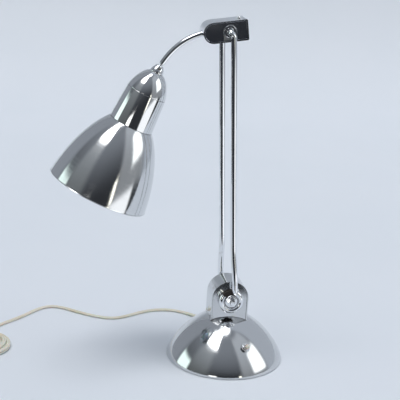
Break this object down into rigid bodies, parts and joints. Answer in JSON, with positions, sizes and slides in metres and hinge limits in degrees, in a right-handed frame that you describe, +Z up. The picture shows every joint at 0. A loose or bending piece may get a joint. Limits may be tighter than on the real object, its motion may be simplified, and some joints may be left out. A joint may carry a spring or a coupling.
{
  "type": "desk lamp",
  "caption": "Desk lamp with a weighted domed base, an arm of two bent rods, a curved neck with a ball joint, and a bell shade with its lampholder, bulb, flat cord and plug.",
  "frame": {"origin": "middle of the base's underside, on the table", "axes": "+Z up; -X towards the shade; -Y towards the front, the side with the toggle switch; the cord leaves at the back, +Y"},
  "size_m": [0.4686, 0.2578, 0.4711],
  "materials": {
    "chrome": "polished",
    "polished": "satin",
    "steel": "plain",
    "iron": "as cast",
    "brass": "plain",
    "ivory": "smooth",
    "bakelite": "gloss",
    "felt": "felt",
    "fibre": "pressed fibre",
    "glass": "frosted"
  },
  "bodies": {
    "base": {"felt_pad": "felt", "base_plate": "steel", "plate_screw_1": "steel", "plate_screw_2": "steel", "plate_screw_3": "steel", "base_ballast": "iron", "base_shell": "chrome", "bracket_stud": "steel", "bracket_nut": "steel", "bracket_block": "steel", "bracket_strap": "chrome", "bracket_plate_front": "chrome", "bracket_plate_back": "chrome", "pivot_pin": "chrome", "pivot_nut": "chrome", "pivot_washer_front": "chrome", "pivot_washer_back": "chrome", "switch_body": "steel", "switch_nut": "chrome", "cord_gland": "ivory", "inner_lead": "ivory", "cord_lead": "ivory", "cord_coil": "ivory", "coil_tie": "bakelite", "cord_tail": "ivory", "plug_body": "ivory", "plug_pin_left": "brass", "plug_pin_right": "brass"},
    "arm": {"rod_front": "chrome", "rod_back": "chrome", "friction_disc_front": "fibre", "friction_disc_back": "fibre", "eye_hub_front": "chrome", "eye_hub_back": "chrome", "pivot_barrel": "chrome"},
    "head": {"head_band": "chrome", "head_cheek_front": "chrome", "head_cheek_back": "chrome", "head_clamp": "steel", "clamp_screw": "chrome", "neck_nut": "brass", "curved_arm": "chrome", "neck_ball": "chrome"},
    "seat": {"ball_seat": "brass"},
    "socket": {"ferrule": "chrome", "ferrule_nut": "brass"},
    "shade": {"shade_cap": "polished", "shade_neck": "polished", "shade_bell": "polished", "holder_cap": "bakelite", "holder_nut": "brass", "holder_body": "bakelite", "holder_ring": "bakelite", "bulb_cap": "brass", "bulb_glass": "glass"},
    "toggle": {"switch_toggle": "ivory"}
  },
  "joints": [
    {"name": "arm_tilt", "type": "hinge", "parent": "base", "child": "arm", "pos_m": [0, 0, 0.09], "axis": [0, 1, 0], "range_deg": [-35, 40]},
    {"name": "head_tilt", "type": "hinge", "parent": "arm", "child": "head", "pos_m": [-0.02349, 0, 0.45324], "axis": [0, 1, 0], "range_deg": [-15, 50]},
    {"name": "ball_tilt", "type": "hinge", "parent": "head", "child": "seat", "pos_m": [-0.10995, 0, 0.40265], "axis": [0, 1, 0], "range_deg": [-15, 35]},
    {"name": "ball_swing", "type": "hinge", "parent": "seat", "child": "socket", "pos_m": [-0.10995, 0, 0.40265], "axis": [0.915, 0, -0.4035], "range_deg": [-14, 14]},
    {"name": "shade_spin", "type": "hinge", "parent": "socket", "child": "shade", "pos_m": [-0.10995, 0, 0.40265], "axis": [-0.4035, 0, -0.915], "range_deg": [-90, 90]},
    {"name": "switch_throw", "type": "hinge", "parent": "base", "child": "toggle", "pos_m": [0.01605, -0.05747, 0.03643], "axis": [0.9632, 0.2689, 0], "range_deg": [-16, 0]}
  ]
}
